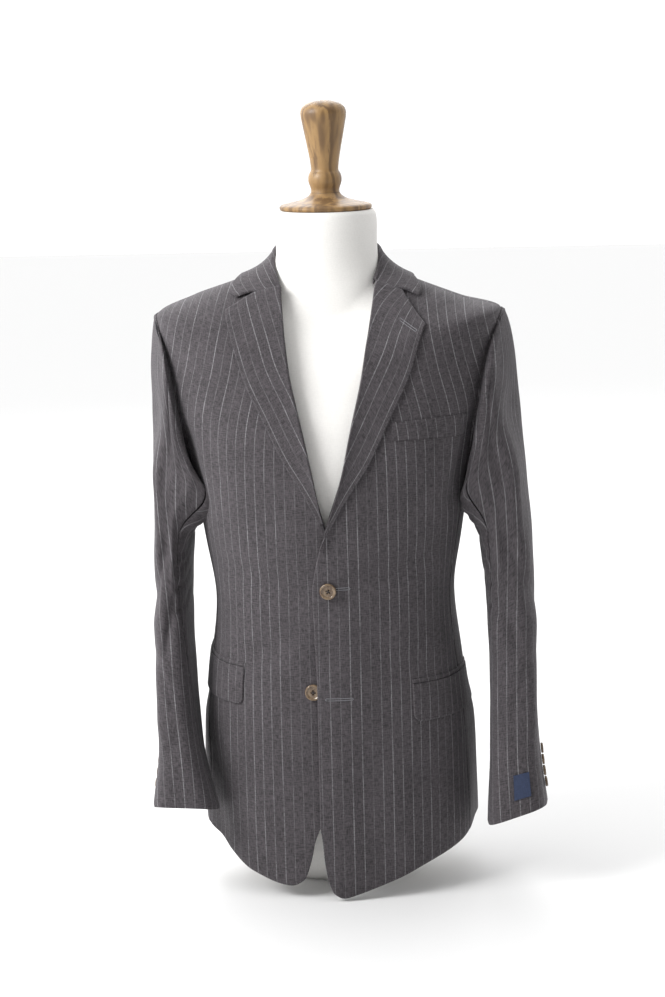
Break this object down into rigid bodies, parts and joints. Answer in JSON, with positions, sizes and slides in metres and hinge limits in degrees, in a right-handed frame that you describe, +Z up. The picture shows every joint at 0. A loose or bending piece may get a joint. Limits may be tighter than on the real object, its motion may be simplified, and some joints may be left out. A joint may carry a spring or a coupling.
{
  "type": "suit jacket on a dress form",
  "caption": "Single-breasted notch-lapel suit jacket in pinstriped wool, worn by a limbless dress form with a turned wooden neck cap and finial.",
  "frame": {"origin": "centre of the dress form's flat underside, on which it stands", "axes": "+Z up, the jacket faces -Y, the wearer's left is +X"},
  "size_m": [0.4903, 0.2932, 0.9746],
  "materials": {
    "form_cover": "cream cotton jersey stretched over the form",
    "walnut": "turned wood with a satin varnish",
    "wool": "charcoal worsted wool with pale grey pinstripes",
    "label": "plain navy woven tape",
    "horn": "brown horn, polished"
  },
  "bodies": {
    "root": {"form_torso": "form_cover", "neck_cap": "walnut", "finial": "walnut", "front_left": "wool", "front_right": "wool", "side_body_left": "wool", "side_body_right": "wool", "back_left": "wool", "back_right": "wool", "lapel_left": "wool", "lapel_right": "wool", "collar_leaf": "wool", "collar_stand": "wool", "sleeve_upper_left": "wool", "sleeve_under_left": "wool", "sleeve_upper_right": "wool", "sleeve_under_right": "wool", "pocket_flap_left": "wool", "pocket_flap_right": "wool", "pocket_jet_left": "wool", "pocket_jet_right": "wool", "breast_welt": "wool", "cuff_label": "label", "button_top": "horn", "button_low": "horn", "cuff_button_left_1": "horn", "cuff_button_left_2": "horn", "cuff_button_left_3": "horn", "cuff_button_left_4": "horn", "cuff_button_right_1": "horn", "cuff_button_right_2": "horn", "cuff_button_right_3": "horn", "cuff_button_right_4": "horn"}
  },
  "joints": []
}
